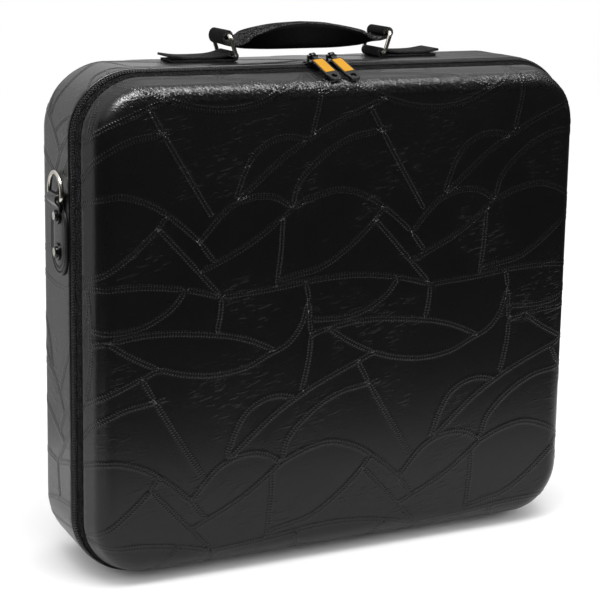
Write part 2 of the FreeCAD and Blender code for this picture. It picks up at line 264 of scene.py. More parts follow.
def woven_cloth(name, shades, threads, roughness, relief):
    """Crossing threads, with their pitch along and across in mm, and two shades of yarn."""
    constants = {"Roughness": roughness, "Specular IOR Level": 0.04}
    material, tree, shader, place = start_material(name, constants)
    cloth = add_node(tree, "UVMap", {"uv_map": "cloth"})
    axes = add_node(tree, "SeparateXYZ", None, {0: cloth})
    waves = []
    for axis, pitch in zip("XY", threads):
        angle = add_node(tree, "Math", {"operation": "MULTIPLY"},
                         {0: axes.outputs[axis], 1: 2 * math.pi / pitch})
        waves.append(add_node(tree, "Math", {"operation": "SINE"}, {0: angle}))
    weave = add_node(tree, "Math", {"operation": "MULTIPLY"}, {0: waves[0], 1: waves[1]})
    raised = add_node(tree, "Math", {"operation": "MULTIPLY"}, {0: weave, 1: relief})
    yarn = add_node(tree, "TexNoise", None, {"Vector": place, "Scale": 1 / threads[0], "Detail": 2.0})
    speck = add_node(tree, "MapRange", {"interpolation_type": "SMOOTHSTEP"},
                     {"Value": yarn, "From Min": 0.52, "From Max": 0.62})
    shade = add_node(tree, "Mix", {"data_type": "RGBA"},
                     {0: speck, 6: colour(shades[0]), 7: colour(shades[1])})
    feed_shader(tree, shader, shade, raised)
    return material


zip_cloth = woven_cloth("polyester_zip_tape", ("#09090a", "#38383a"), tape_threads, 0.9, 0.3)
webbing = woven_cloth("speckled_webbing", ("#18181a", "#605f5c"), webbing_threads, 0.8, 0.25)
dark_webbing = woven_cloth("dark_webbing", ("#141415", "#424241"), webbing_threads, 0.7, 0.25)
# A darker copy of the webbing for the grip strap's underside, painted shade
painted_shade_grip_cloth = woven_cloth("grip_underside_painted_shade", ("#0a0a0b", "#121213"), webbing_threads, 0.8, 0.1)
print("cloths:", zip_cloth.name, webbing.name, dark_webbing.name, painted_shade_grip_cloth.name)

# %% Brushed lining
nap_size = 1.4
nap_height = 0.3


def brushed_lining():
    constants = {"Roughness": 0.95, "Sheen Weight": 0.5, "Sheen Roughness": 0.5}
    material, tree, shader, place = start_material("brushed_knit_lining", constants)
    nap = add_node(tree, "TexNoise", None, {"Vector": place, "Scale": 1 / nap_size, "Detail": 4.0})
    shade = add_node(tree, "Mix", {"data_type": "RGBA"},
                     {0: nap, 6: colour("#0d0d0e"), 7: colour("#242426")})
    fuzz = add_node(tree, "Math", {"operation": "MULTIPLY"}, {0: nap, 1: nap_height})
    feed_shader(tree, shader, shade, fuzz)
    return material


lining = brushed_lining()
print("lining:", lining.name)

# %% [markdown]
# The hard trim has a few finishes. The coil is extruded nylon, the sliders and pulls are die-cast zinc under
# black paint with bare zinc on their bevelled edges as a painted highlight, the plates on the pulls are
# yellow enamel, the rings and rivets are steel with a nickel plate, and the patches have waxed thread and
# painted edges, whose near-black is also laid in their channel and valley as painted shade. Each gets the
# faint
# unevenness of its making: extrusion lines, paint that rounds off, a plate that mirrors a little softly.

# %% Hard trim materials
def hard_finish(name, constants, shades, speck_size, rough_range, relief):
    """A hard surface whose colour, roughness and height drift a little over spots of a given size in mm."""
    material, tree, shader, place = start_material(name, constants)
    drift = add_node(tree, "TexNoise", None, {"Vector": place, "Scale": 1 / speck_size, "Detail": 3.0})
    shade = add_node(tree, "Mix", {"data_type": "RGBA"},
                     {0: drift, 6: colour(shades[0]), 7: colour(shades[1])})
    gloss = add_node(tree, "MapRange", None,
                     {"Value": drift, "To Min": rough_range[0], "To Max": rough_range[1]})
    uneven = add_node(tree, "Math", {"operation": "MULTIPLY"}, {0: drift, 1: relief})
    feed_shader(tree, shader, shade, uneven, gloss)
    return material


coil_nylon = hard_finish("extruded_nylon", {"Specular IOR Level": 0.2}, ("#080809", "#101011"),
                         0.8, (0.2, 0.3), 0.02)
painted_zinc = hard_finish("painted_zinc", {"Specular IOR Level": 0.3}, ("#070708", "#0e0e0f"),
                           2.0, (0.2, 0.3), 0.03)
# Bare zinc for the bevelled edges of the sliders and pulls; its brightness there is a painted highlight
bare_zinc_edge_highlight = hard_finish("bare_zinc_edge_highlight", {"Metallic": 1.0}, ("#c9c6c0", "#e2e0db"), 1.0, (0.3, 0.45), 0.03)
enamel = hard_finish("yellow_enamel", {"Specular IOR Level": 0.15}, ("#b4800a", "#be880e"),
                     3.0, (0.3, 0.4), 0.02)
nickel = hard_finish("nickel_plate", {"Metallic": 1.0}, ("#b9b4aa", "#d0ccc3"), 4.0, (0.16, 0.26), 0.01)
# Near-black for the patches: edge paint on their outer edge, and painted shade in their channel and valley
edge_paint_and_groove_shade = hard_finish("edge_paint_and_groove_shade", {"Specular IOR Level": 0.2}, ("#060607", "#0b0b0c"),
                         1.0, (0.4, 0.5), 0.03)
thread = hard_finish("black_thread", {"IOR": 1.53}, ("#131314", "#262627"), 0.6, (0.5, 0.7), 0.05)
print("trim:", coil_nylon.name, painted_zinc.name, bare_zinc_edge_highlight.name, enamel.name, nickel.name, thread.name)

# %% [markdown]
# The photograph is lit as a shop picture: white all round, with the floor so bright that only the thin
# shadow under the case is left of it. In front and on the right the room is dark, which is why the lid's
# face is nearly black at the top and grey near the floor, and on the left it is grey. Plain cards stand in
# for that, and only reflections see them. The sky is plain white for whatever looks straight at it.

# %% Floor and cards
def studio_material(name, hex_code):
    material = bpy.data.materials.new(name)
    material.use_nodes = True
    shader = material.node_tree.nodes["Principled BSDF"]
    shader.inputs["Base Color"].default_value = colour(hex_code)
    shader.inputs["Roughness"].default_value = 0.9
    return material


def sheet_object(name, corners, material):
    mesh = bpy.data.meshes.new(name)
    mesh.from_pydata([Vector(corner) for corner in corners], [], [tuple(range(len(corners)))])
    mesh.materials.append(material)
    made = bpy.data.objects.new(name, mesh)
    bpy.context.scene.collection.objects.link(made)
    return made


floor_reach = 3.0
floor = sheet_object("floor", [(-floor_reach, -floor_reach, 0), (floor_reach, -floor_reach, 0),
                               (floor_reach, floor_reach, 0), (-floor_reach, floor_reach, 0)],
                     studio_material("white_floor", "#f8f8f8"))

# Each card's two ends near the floor, the way from there to its other edge, and its colour
CARDS = {
    "front_card": ((-0.6, -0.32), (1.6, -0.32), (0, 0, 0.8), "#050505"),
    "right_card": ((0.6, -0.32), (0.6, 1.0), (0, 0, 0.6), "#050505"),
    "side_card": ((-0.6, -0.32), (-0.6, 0.04), (0, 0, 0.6), "#050505"),
    "left_card": ((-0.6, 0.04), (-0.6, 0.3), (0, 0, 0.6), "#c4c4c4"),
    "rear_card": ((-0.6, 0.3), (-0.25, 0.3), (0, 0, 0.6), "#c4c4c4"),
    "floor_card": ((-0.6, -0.32), (0.6, -0.32), (0, 0.29, 0), "#f4f4f4"),
    "left_floor_card": ((-0.6, -0.03), (-0.6, 0.3), (0.36, 0, 0), "#f4f4f4"),
}
card_lift = 0.002
for name, (near, far, across, shade) in CARDS.items():
    ends = [Vector((*near, card_lift)), Vector((*far, card_lift))]
    others = [end + Vector(across) for end in reversed(ends)]
    card = sheet_object(name, ends + others, studio_material(name + "_paint", shade))
    card.visible_camera = False
    card.visible_diffuse = False
    card.visible_shadow = False
print("studio:", floor.name, *CARDS)

# %% Sky
ambient = 1.05
world = bpy.data.worlds.new("white_studio")
bpy.context.scene.world = world
world.use_nodes = True
tree = world.node_tree
tree.nodes.clear()
ray = add_node(tree, "LightPath").outputs
seen = add_node(tree, "Math", {"operation": "MAXIMUM"}, {0: ray["Is Camera Ray"], 1: ray["Is Glossy Ray"]})
seen = add_node(tree, "Math", {"operation": "MAXIMUM"}, {0: seen, 1: ray["Is Transmission Ray"]})
level = add_node(tree, "MapRange", None, {"Value": seen, "To Min": ambient})
sky = add_node(tree, "Background", None, {"Color": (1, 1, 1, 1), "Strength": level})
add_node(tree, "OutputWorld", None, {"Surface": sky})
bpy.context.scene.view_settings.view_transform = "Standard"
print("sky:", world.name, "at", ambient)

# %% [markdown]
# The lamps light the case at a plain level, so that a colour shows much as it is written. The bright line
# along the lid's top edge needs more than that, so the two upper boxes have a stronger twin behind them that
# lights gloss and leaves matt surfaces alone. The twins stand a little further off, because two lamps in
# exactly one place would hide each other.

# %% Lamps
# Each lamp's place and size in metres, its power in watts, and whether it lights gloss alone
LAMPS = {
    "top_box": ((0.15, -0.5, 1.6), (0.9, 0.8), 8.0, False),
    "top_glint": ((0.15, -0.5, 1.65), (0.9, 0.8), 34.0, True),
    "corner_box": ((-0.6, -0.45, 1.6), (0.5, 0.5), 5.0, False),
    "corner_glint": ((-0.6, -0.45, 1.65), (0.5, 0.5), 34.0, True),
    "front_box": ((0.6, -1.3, 0.95), (0.5, 0.5), 3.0, False),
    "left_box": ((-1.9, 0.1, 0.6), (0.7, 1.4), 3.0, False),
}
case_centre = Vector((0.0, 0.0, case_middle * MM))
for name, (place, size, power, gloss_alone) in LAMPS.items():
    lamp = bpy.data.lights.new(name, "AREA")
    lamp.shape = "RECTANGLE"
    lamp.size, lamp.size_y = size
    lamp.energy = power
    box = bpy.data.objects.new(name, lamp)
    bpy.context.scene.collection.objects.link(box)
    box.location = place
    box.rotation_euler = (case_centre - Vector(place)).to_track_quat("-Z", "Y").to_euler()
    box.visible_diffuse = not gloss_alone
print("lamps:", *LAMPS)

# %% [markdown]
# Every mesh is finished the same way: millimetres become metres, faces get their finish and look outwards,
# and the piece is tied to the frame. A second helper makes a mesh through rings of points, each one a
# closed cross-section, and writes how far along and across the cloth each corner lies.

# %% Mesh helpers
def finish_piece(mesh, body, materials, replaced=()):
    """Turns faces outwards, shades them, links the object and ties it to the frame."""
    for material in materials:
        mesh.materials.append(material)
    work = bmesh.new()
    work.from_mesh(mesh)
    bmesh.ops.recalc_face_normals(work, faces=work.faces)
    work.to_mesh(mesh)
    work.free()
    mesh.polygons.foreach_set("use_smooth", [True] * len(mesh.polygons))
    piece = bpy.data.objects.new(mesh.name, mesh)
    bpy.context.scene.collection.objects.link(piece)
    if body:
        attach(piece, body)
    if replaced:
        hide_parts(*replaced)
    print(mesh.name, len(mesh.polygons), "faces on", body)
    return piece


def mesh_of_rings(name, rings, along, closed=False):
    """A mesh through closed rings of points in mm; along gives each ring's run length."""
    rings = np.asarray(rings, float)
    count, size = rings.shape[:2]
    steps = np.linalg.norm(np.roll(rings[0], -1, 0) - rings[0], axis=1)
    across = np.concatenate([[0.0], np.cumsum(steps)])
    along = list(along)
    if closed:
        along.append(2 * along[-1] - along[-2])
    faces = []
    corners = []
    for i in range(count if closed else count - 1):
        following = (i + 1) % count
        for j in range(size):
            beside = (j + 1) % size
            faces.append((i * size + j, i * size + beside, following * size + beside, following * size + j))
            corners += [(along[i], across[j]), (along[i], across[j + 1])]
            corners += [(along[i + 1], across[j + 1]), (along[i + 1], across[j])]
    if not closed:
        for first in (0, (count - 1) * size):
            faces.append(tuple(range(first, first + size)))
            corners += [(0.0, 0.0)] * size
    mesh = bpy.data.meshes.new(name)
    mesh.from_pydata((rings.reshape(-1, 3) * MM).tolist(), [], faces)
    cloth = mesh.uv_layers.new(name="cloth")
    cloth.data.foreach_set("uv", np.array(corners, np.float32).ravel())
    return mesh


def spline(points, step):
    """A smooth curve through a few given points, with a point about every step."""
    knots = np.array(points, float)
    knots = np.vstack([2 * knots[0] - knots[1], knots, 2 * knots[-1] - knots[-2]])
    curve = []
    for before, start, end, after in zip(knots, knots[1:], knots[2:], knots[3:]):
        count = max(2, round(np.linalg.norm(end - start) / step))
        t = np.arange(count)[:, None] / count
        bend = 2 * before - 5 * start + 4 * end - after
        swing = 3 * start - before - 3 * end + after
        curve.append(0.5 * (2 * start + (end - before) * t + bend * t ** 2 + swing * t ** 3))
    curve.append(knots[-2:-1])
    return np.vstack(curve)


def run_lengths(points):
    """How far along a line of points each one lies."""
    return np.concatenate([[0], np.cumsum(np.linalg.norm(np.diff(points, axis=0), axis=1))])


# %% [markdown]
# The sheet's emboss repeats about every 189 mm across and 211 mm up, and it was laid on the case a degree
# or two out of square. One tile holds sixteen seams, each drawn through a few points on the tile,
# in millimetres from its lower left corner. A spline makes them round.

# %% The embossed seams of one tile
tile_width = 187.5
tile_height = 214.6
tile_start = np.array([-134.0, -169.2])
sheet_across = np.array([1.008, -0.028])
sheet_up = np.array([0.029, 0.983])
seam_step = 1.3
tile_reach = range(-4, 5)
TILE_SEAMS = (
    ((15, 200), (60, 204.5), (100, 210), (136, 211.5), (172, 207.5), (202.5, 200)),
    ((15, 200), (14.5, 187), (12, 171)),
    ((94, 163), (112, 168.5), (150, 173), (199, 169), (226, 163), (250, 153)),
    ((95, 176), (120, 176), (136, 179), (150, 185.5), (163, 195), (172, 207.5)),
    ((88, 207), (91, 193), (94, 162), (93, 142), (88, 117)),
    ((110, 168), (130, 155), (152, 144.5), (175, 138), (200, 136), (225, 140), (244, 149), (262, 158),
     (273, 173), (278, 192)),
    ((152, 144), (110, 125), (86, 112), (60, 94), (26, 63)),
    ((82, 111), (68, 113.5), (54, 111), (40, 101.5), (31, 86), (24, 65)),
    ((157, 119), (141, 116), (123, 112), (104, 102), (87, 87.5), (77, 74), (73, 57)),
    ((139, 136), (149, 119), (165, 93), (192, 51)),
    ((72, 55), (92, 64), (115, 69), (135, 64.5), (153, 55), (178, 35), (195, 15)),
    ((72, 56), (60, 63.5), (46, 66), (30, 63), (14, 53.5), (-6, 30)),
    ((73, 56), (62, 46), (36, 27), (-3, 7)),
    ((65, 47), (64.5, 20), (62, -8)),
    ((64, -3.5), (82, 0.5), (100, 5), (120, 17.5), (142, 37), (155, 53)),
    ((147, 44), (170, 20), (202.5, -14.6)),
)
print("seams in a tile:", len(TILE_SEAMS))

# %% [markdown]
# Tapes, hems and sheets all follow the case's widest outline: straights joined by quarter circles. One
# function walks it from the middle of the bottom round to the right, and gives the place there and the way
# out of the case. Complex numbers make the turning easy: a quarter turn is a product with 1j.

# %% The case's outline
straight_half = case_half - corner_radius
upright = case_height - 2 * corner_radius
quarter = corner_radius * math.pi / 2
OUTLINE_LEGS = (straight_half, quarter, upright, quarter, 2 * straight_half, quarter, upright, quarter,
                straight_half)
outline_length = sum(OUTLINE_LEGS)


def outline_at(run):
    """Places (x, z) on the widest outline and the ways out of it, at run lengths in mm."""
    run = np.asarray(run, float) % outline_length
    place = np.zeros(len(run), complex)
    way = np.zeros(len(run), complex)
    start, heading, passed = 0j, 1 + 0j, 0.0
    for leg, length in enumerate(OUTLINE_LEGS):
        here = (run >= passed) & (run <= passed + length)
        gone = run[here] - passed
        if leg % 2:
            spin = np.exp(1j * gone / corner_radius)
            middle = start + 1j * heading * corner_radius
            way[here] = -1j * heading * spin
            place[here] = middle + corner_radius * way[here]
            start = middle + corner_radius * heading
            heading *= 1j
        else:
            way[here] = -1j * heading
            place[here] = start + heading * gone
            start += heading * length
        passed += length
    return np.c_[place.real, place.imag], np.c_[way.real, way.imag]


print("outline", round(outline_length), "mm round")

# %% [markdown]
# Each half is a flat sheet pressed over a mould, so it is built that way. The flat sheet is filled with
# points: rows that follow every seam, and an even field between them. The sheet is triangulated while it
# is flat, and then each point is carried over the mould: it stays flat on the face, goes round the edge's
# radius, and runs down the drafted wall. At the corners the sheet gathers, as the real one does. Along a
# seam the surface rises into two ridges with a stitched bed between.

# %% Press a flat sheet over a half's mould
class Mould:
    """One half's form, over which a point of the flat sheet goes round the edge and down the wall."""

    def __init__(self, rim_y, rim_inset, end_y, draft, edge_radius, hem):
        self.end_y = end_y
        self.out = math.copysign(1.0, end_y - rim_y)
        self.radius = edge_radius
        self.bend = math.pi / 2 - draft
        self.draft = draft
        depth = abs(end_y - rim_y)
        self.flat_inset = rim_inset + depth * math.tan(draft) + edge_radius * math.tan(self.bend / 2)
        wall_run = (depth - edge_radius * (1 - math.cos(self.bend))) / math.cos(draft)
        self.sheet = edge_radius * self.bend + wall_run - hem
        self.corner = corner_radius - self.flat_inset
        self.core = np.array([case_half - corner_radius, case_middle - corner_radius])

    def half_size(self):
        """Half the flat sheet's width and height."""
        return self.core + self.corner + self.sheet

    def beyond(self, flat):
        """Distance past the flat face, and the way outwards, for points of the flat sheet."""
        over = np.maximum(abs(flat) - self.core, 0)
        length = np.linalg.norm(over, axis=1)
        way = np.sign(flat) * over / np.maximum(length, 1e-9)[:, None]
        return length - self.corner, way

    def press(self, flat, lift):
        """Points of the flat sheet carried over the mould and raised off it by lift."""
        past, way = self.beyond(flat)
        past = np.maximum(past, 0)
        angle = np.minimum(past / self.radius, self.bend)
        down = np.maximum(past - self.radius * self.bend, 0)
        reach = self.radius * np.sin(angle) + down * math.sin(self.draft) + lift * np.sin(angle)
        depth = self.radius * (1 - np.cos(angle)) + down * math.cos(self.draft) - lift * np.cos(angle)
        place = flat - way * past[:, None] + way * reach[:, None]
        return np.c_[place[:, 0], self.end_y - self.out * depth, place[:, 1] + case_middle]

    def edge(self, count):
        """The flat sheet's outer edge as an even loop of points."""
        foot, way = outline_at(np.arange(count) * outline_length / count)
        return foot - (0, case_middle) + way * (self.sheet - self.flat_inset)


# %% [markdown]
# A sheet knows its seams: the tile is repeated over it, and a search tree finds the seam nearest to any
# point. Past a seam's end the distance grows, so that the seam fades out there. Near a crossing the rungs
# give way, because two rows of stitches never run into each other cleanly.

# %% The seams of a sheet
seam_half = 2.4
fade_length = 1.5
crossing_reach = 2.0
crossing_neighbours = 6


class Seams:
    """Every seam that crosses a flat sheet of a given half size: points, ways, run lengths and owners."""

    def __init__(self, half_size, shift):
        drawn = [spline(points, seam_step) for points in TILE_SEAMS]
        lines = []
        for i, j in ((i, j) for i in tile_reach for j in tile_reach):
            for curve in drawn:
                across, up = (curve + (i * tile_width, j * tile_height)).T
                line = tile_start + shift + np.outer(across, sheet_across) + np.outer(up, sheet_up)
                if np.any(np.all(abs(line) < half_size, axis=1)):
                    lines.append(line)
        ways = [np.gradient(line, axis=0) for line in lines]
        runs = [run_lengths(line) for line in lines]
        self.points = np.vstack(lines)
        self.ways = np.vstack([way / np.linalg.norm(way, axis=1)[:, None] for way in ways])
        self.runs = np.concatenate(runs)
        self.totals = np.concatenate([np.full(len(run), run[-1]) for run in runs])
        self.owners = np.concatenate([np.full(len(run), number) for number, run in enumerate(runs)])
        self.tree = kdtree.KDTree(len(self.points))
        for index, (u, v) in enumerate(self.points):
            self.tree.insert((u, v, 0.0), index)
        self.tree.balance()

    def nearest(self, flat):
        """Each point's distance from its nearest seam, and the run length there."""
        off = np.zeros(len(flat))
        run = np.zeros(len(flat))
        for k, (u, v) in enumerate(flat):
            found, index, distance = self.tree.find((u, v, 0.0))
            du, dv = (u, v) - self.points[index]
            way_u, way_v = self.ways[index]
            along = du * way_u + dv * way_v
            aside = abs(du * way_v - dv * way_u)
            off[k] = aside if abs(along) <= seam_step else distance
            run[k] = self.runs[index] + along
            left = min(run[k], self.totals[index] - run[k])
            off[k] += seam_half * min(max(-left / fade_length, 0), 1)
        return off, run

    def crossing(self, flat):
        """From 0 to 1, how nearly each point is as close to a second seam as to its own."""
        share = np.zeros(len(flat))
        for k, (u, v) in enumerate(flat):
            found = self.tree.find_n((u, v, 0.0), crossing_neighbours)
            own = self.owners[found[0][1]]
            others = [distance for place, index, distance in found if self.owners[index] != own]
            if others:
                share[k] = max(0.0, 1 - (min(others) - found[0][2]) / crossing_reach)
        return share


print("a seam is", 2 * seam_half, "mm wide")

# %% [markdown]
# The sheet's points are chosen so that few triangles show much: close rows beside every seam, a fine field
# round the bend and wider fields on the flat face and the wall. Across a seam the height is a sum of simple
# bumps, two ridges, a low bed between them and a shallow dip outside.

# %% Points and heights of a sheet
ridge_height = 0.28
ridge_width = 0.6
bed_height = 0.05
pucker_depth = 0.05
pucker_place = 3.8
pucker_width = 1.3
SEAM_ROWS = (0.0, 0.75, 1.5, 2.2, 3.0, 4.3)
row_stations = 2
row_slack = 0.35
row_gap = 0.62
row_margin = 1.2
field_gap = 1.0
field_margin = 2.0
bend_lap = 2.0
flat_pitch = 6.0
bend_pitch = 2.2
wall_pitch = 4.5
edge_points = 420


def seam_relief(off):
    ridge = ridge_height * np.exp(-((off - stitch_place) / ridge_width) ** 2)
    bed = bed_height * np.clip(1 - off / seam_half, 0, 1)
    pucker = pucker_depth * np.exp(-((off - pucker_place) / pucker_width) ** 2)
    return ridge + bed - pucker


def thinned(points, gap):
    """Drops points that lie closer than gap to one kept before."""
    kept = []
    cells = {}
    for index, (u, v) in enumerate(points):
        cell = (math.floor(u / gap), math.floor(v / gap))
        near = [cells.get((cell[0] + i, cell[1] + j)) for i in (-1, 0, 1) for j in (-1, 0, 1)]
        if all(n is None or math.hypot(points[n, 0] - u, points[n, 1] - v) >= gap for n in near):
            cells[cell] = index
            kept.append(index)
    return points[kept]


def even_field(mould, pitch, margin):
    """A triangular field of points over the whole flat sheet, clear of its edge by margin."""
    half = mould.half_size()
    field = []
    for k, v in enumerate(np.arange(-half[1], half[1], pitch * math.sqrt(0.75))):
        us = np.arange(-half[0], half[0], pitch) + (k % 2) * pitch / 2
        field.append(np.c_[us, np.full(len(us), v)])
    field = np.vstack(field)
    past, way = mould.beyond(field)
    inside = past < mould.sheet - margin
    return field[inside], past[inside]


def embossed_points(mould, seams):
    rows = []
    stations = slice(None, None, row_stations)
    across = np.c_[-seams.ways[:, 1], seams.ways[:, 0]]
    for off in sorted({sign * row for row in SEAM_ROWS for sign in (1, -1)}, key=abs):
        row = seams.points[stations] + across[stations] * off
        past, way = mould.beyond(row)
        row = row[past < mould.sheet - row_margin]
        true_off, run = seams.nearest(row)
        rows.append(row[true_off > abs(off) - row_slack])
    rows = thinned(np.vstack(rows), row_gap)
    bend_end = mould.radius * mould.bend + bend_lap
    fields = []
    for pitch, start, end in ((flat_pitch, -math.inf, -bend_lap), (bend_pitch, -bend_lap, bend_end),
                              (wall_pitch, bend_end, math.inf)):
        field, past = even_field(mould, pitch, field_margin)
        field = field[(past > start) & (past <= end)]
        off, run = seams.nearest(field)
        fields.append(field[off > SEAM_ROWS[-1] + field_gap])
    return np.vstack([mould.edge(edge_points), rows] + fields)


def flat_triangles(points):
    made = geometry.delaunay_2d_cdt([Vector(p) for p in points], [], [], 0, 1e-6)
    order = [origin[0] for origin in made[3]]
    return [tuple(order[i] for i in face) for face in made[2]]


print("rows beside a seam:", 2 * len(SEAM_ROWS) - 1)

# %% [markdown]
# A half is then one closed piece: the embossed sheet outside, a lining of wider triangles inside, and four
# rings between them for the hem that is turned over the rim. The mesh carries three values for the leather's
# material: how far a point is beside its seam, how far along it, and how strongly the edge is drawn there.

# %% Build a half
hem = 0.9
hem_round = 0.3 * hem
lining_pitch = 9.0
lining_margin = 3.0
no_seam = 10.0
fold_floor = 0.6
fold_power = 6


def hem_rings(rim_y, out, outer_inset, inner_inset):
    """The turned hem, from the sheet's edge over the rim to the lining's edge."""
    foot, way = outline_at(np.arange(edge_points) * outline_length / edge_points)
    rings = []
    for inset, low in ((outer_inset + hem_round, hem_round), (outer_inset + hem, 0.0),
                       (inner_inset - hem, 0.0), (inner_inset - hem_round, hem_round)):
        ring = foot - way * inset
        rings.append(np.c_[ring[:, 0], np.full(edge_points, rim_y + out * low), ring[:, 1]])
    return rings


def lining_points(inner):
    field, past = even_field(inner, lining_pitch, lining_margin)
    bends, bends_past = even_field(inner, lining_pitch / 2, lining_margin)
    return np.vstack([inner.edge(edge_points), field[past <= -bend_lap], bends[bends_past > -bend_lap]])


def drawn_share(mould, flat):
    """From 0 to 1, how strongly the sheet is drawn round the edge; most at the top."""
    past, way = mould.beyond(flat)
    round_share = np.clip(past / (mould.radius * mould.bend), 0, 1)
    return np.sin(math.pi * round_share) * np.clip(way[:, 1], fold_floor, 1) ** fold_power


def moulded_half(name, node, body, rim_y, rim_inset, end_y, draft, edge_radius, shift):
    outer = Mould(rim_y, rim_inset, end_y, draft, edge_radius, hem)
    inner_inset = rim_inset + wall / math.cos(draft)
    inner = Mould(rim_y, inner_inset, end_y - outer.out * wall, draft, edge_radius - wall, hem)
    seams = Seams(outer.half_size(), shift)
    skin = embossed_points(outer, seams)
    off, run = seams.nearest(skin)
    cloth = lining_points(inner)
    places = [outer.press(skin, seam_relief(off)), *hem_rings(rim_y, outer.out, rim_inset, inner_inset),
              inner.press(cloth, np.zeros(len(cloth)))]
    starts = np.concatenate([[0], np.cumsum([len(p) for p in places])]).tolist()
    faces = flat_triangles(skin)
    for lower, upper in zip(starts[:-2], starts[1:-1]):
        for k in range(edge_points):
            beside = (k + 1) % edge_points
            faces.append((lower + k, lower + beside, upper + beside, upper + k))
    inside_from = len(faces)
    faces += [tuple(starts[-2] + i for i in reversed(face)) for face in flat_triangles(cloth)]
    mesh = bpy.data.meshes.new(name)
    mesh.from_pydata((np.vstack(places) * MM).tolist(), [], faces)
    stitched = off + seam_half * seams.crossing(skin)
    for label, values, elsewhere in (("seam_off", stitched, no_seam), ("seam_run", run, 0.0),
                                     ("edge_fold", drawn_share(outer, skin), 0.0)):
        whole = np.full(starts[-1], elsewhere, np.float32)
        whole[:len(values)] = values
        mesh.attributes.new(label, "FLOAT", "POINT").data.foreach_set("value", whole)
    finish = np.zeros(len(faces), np.int32)
    finish[inside_from:] = 1
    mesh.polygons.foreach_set("material_index", finish)
    return finish_piece(mesh, body, (leather, lining), (node,))


# %% The two halves
lid_draft = math.radians(17.0)
lid_edge_round = 16.0
back_edge_round = 18.0
back_sheet_shift = (47.0, 61.0)
lid_skin = moulded_half("lid_skin", "lid_shell", "lid", lid_high.y, lid_rim_inset, lid_low.y,
                        lid_draft, lid_edge_round, (0, 0))
back_skin = moulded_half("back_skin", "back_shell", "back", back_low.y, 0.0, back_high.y,
                         0.0, back_edge_round, back_sheet_shift)

# %% [markdown]
# The tapes are bands swept round the case: a cross-section is walked along the outline. Each tape has
# woven ribs along it and a rounded edge. The coil is a row of nylon turns that lock with the turns of the
# other side, so the two rows are half a pitch apart.

# %% Zip tapes
def swept_band(name, section, runs, closed):
    """A closed section of (y, inset) points walked along the case's outline at the given run lengths."""
    foot, way = outline_at(runs)
    rings = []
    for place, out in zip(foot, way):
        rings.append([(place[0] - inset * out[0], y, place[1] - inset * out[1]) for y, inset in section])
    return mesh_of_rings(name, rings, runs, closed)


tape_low, tape_high = (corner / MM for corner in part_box("lid_zip_tape"))
far_low, far_high = (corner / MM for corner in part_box("back_zip_tape"))
tape_recess = 0.8
zip_inset = 2.0
tape_thickness = 1.6
rib_height = 0.18
rib_pitch = 0.8
edge_round = 0.35
rim_groove = 1.3
lid_edge_y = tape_high.y
back_edge_y = far_low.y
TAPES = {
    "lid": (tape_low.y, lid_rim_inset + tape_recess, lid_edge_y, zip_inset),
    "back": (far_high.y, tape_recess, back_edge_y, zip_inset),
}


def tape_section(y_rim, inset_rim, y_edge, inset_edge):
    count = max(6, round(abs(y_edge - y_rim) / rib_pitch))
    upper = []
    for k in range(count + 1):
        share = k / count
        rib = rib_height * (k % 2) if 0 < k < count else edge_round
        rib += rim_groove if k < 2 else 0.0
        inset = inset_rim + share * (inset_edge - inset_rim) + rib - rib_height
        upper.append((y_rim + share * (y_edge - y_rim), inset))
    lower = [(y_edge, inset_edge + tape_thickness), (y_rim, inset_rim + tape_thickness)]
    return upper + lower


sweep_step = 4.0
tape_runs = np.arange(0, outline_length - 1, sweep_step)
for body, place in TAPES.items():
    mesh = swept_band(body + "_tape_cloth", tape_section(*place), tape_runs, True)
    finish_piece(mesh, body, (zip_cloth,), (body + "_zip_tape",))

# %% [markdown]
# The coil's turns are small bars across the tape's edge, thick in the middle and slim at the ends. A bar is
# a few rings of six points with a cap on each end, and the same helper serves for stitches later on. A low
# bead under the turns stands for the cord that they are wound on.

# %% Zip coils
coil_pitch = 2.3
coil_width = 2.4
coil_height = 1.4
turn_width = 1.5
lock_reach = 0.5
bead_share = 0.5
bead_slope = 0.4
# Each ring's place across the coil and its share of the full thickness
TURN_RINGS = ((-lock_reach, 0.45), (-0.1, 0.95), (coil_width * 0.5, 1.0), (coil_width - 0.3, 0.9),
              (coil_width, 0.5))
BAR_RING = [(math.cos(a), math.sin(a)) for a in np.arange(6) * math.pi / 3]


def bar_faces(first, rings):
    """Faces of a small bar whose points start at first: its sides and a cap on each end."""
    size = len(BAR_RING)
    faces = []
    for i in range(rings - 1):
        for j in range(size):
            a = first + i * size + j
            b = first + i * size + (j + 1) % size
            faces.append((a, b, b + size, a + size))
    last = first + (rings - 1) * size
    return faces + [tuple(range(first, first + size)), tuple(range(last, last + size))]


def tape_inset(body, y):
    y_rim, inset_rim, y_edge, inset_edge = TAPES[body]
    return inset_rim + (y - y_rim) / (y_edge - y_rim) * (inset_edge - inset_rim)


def coil_turns(body, start):
    """Nylon turns as small rounded bars across the coil."""
    y_edge = TAPES[body][2]
    inwards = math.copysign(1.0, TAPES[body][0] - y_edge)
    runs = np.arange(straight_half + start, outline_length - straight_half, coil_pitch)
    points = []
    faces = []
    for place, out in zip(*outline_at(runs)):
        along = np.array([-out[1], out[0]])
        faces += bar_faces(len(points), len(TURN_RINGS))
        for reach, swell in TURN_RINGS:
            base = tape_inset(body, y_edge + inwards * max(reach, 0)) - coil_height * 0.5
            for c, s in BAR_RING:
                inset = base - s * coil_height * 0.5 * swell
                spot = place - out * inset + along * c * turn_width * 0.5 * swell
                points.append((spot[0], y_edge + inwards * reach, spot[1]))
    mesh = bpy.data.meshes.new(body + "_coil_turns")
    mesh.from_pydata((np.array(points) * MM).tolist(), [], faces)
    return finish_piece(mesh, body, (coil_nylon,), (body + "_zip_coil",))


